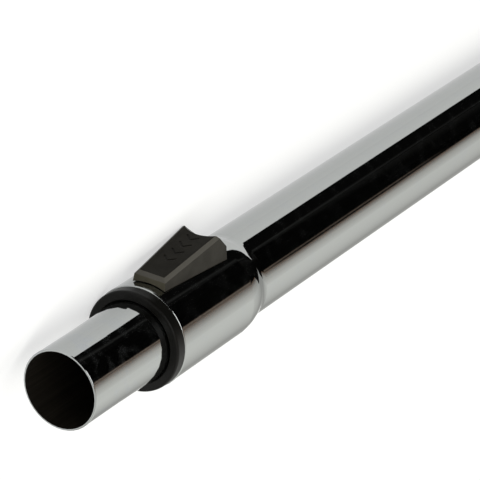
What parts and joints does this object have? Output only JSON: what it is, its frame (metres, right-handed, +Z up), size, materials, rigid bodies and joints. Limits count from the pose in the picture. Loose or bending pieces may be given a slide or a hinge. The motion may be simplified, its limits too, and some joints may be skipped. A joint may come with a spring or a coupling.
{
  "type": "vacuum cleaner tube",
  "caption": "Telescopic chromed steel suction tube: a spigot tube slides in a collared outer tube and locks at detents by a roller that a thumb slider frees.",
  "frame": {"origin": "on the tube's axis, at the open end of the spigot that takes the floor tool", "axes": "+X along the tube from the spigot towards the handle socket, +Z up, the tube lying level on its collar and on a corner of its thumb button, which points to +Y and a little down"},
  "size_m": [0.6085, 0.0554, 0.0454],
  "materials": {
    "outer_tube_chrome": "polished chrome",
    "inner_tube_chrome": "polished chrome",
    "ring_plastic": "fine moulded grain",
    "seal_rubber": "smooth",
    "guide_plastic": "smooth moulded",
    "roller_steel": "ground",
    "carriage_plastic": "smooth moulded",
    "spring_steel": "drawn wire",
    "button_plastic": "fine moulded grain",
    "stop_plastic": "smooth moulded"
  },
  "bodies": {
    "outer": {"outer_tube": "outer_tube_chrome", "end_ring": "ring_plastic", "wiper_seal": "seal_rubber", "guide_sleeve": "guide_plastic", "return_spring": "spring_steel"},
    "inner": {"inner_tube": "inner_tube_chrome", "stop_sleeve": "stop_plastic", "air_seal": "seal_rubber"},
    "slider": {"slide_button": "button_plastic", "slider_carriage": "carriage_plastic"},
    "roller": {"lock_roller": "roller_steel"}
  },
  "joints": [
    {"name": "inner_tube_slide", "type": "slide", "parent": "outer", "child": "inner", "axis": [-1, 0, 0], "range_m": [0, 0.396]},
    {"name": "button_slide", "type": "slide", "parent": "outer", "child": "slider", "axis": [-1, 0, 0], "range_m": [0, 0.004], "stiffness_N_per_m": 900, "springref_m": -0.004, "deforming": ["return_spring"]},
    {"name": "roller_lift", "type": "slide", "parent": "outer", "child": "roller", "axis": [0, 0.8887, -0.4585], "range_m": [0, 0.0018]}
  ],
  "couplings": [
    {"joint": "roller_lift", "follows": "button_slide", "ratio": 0.45}
  ]
}
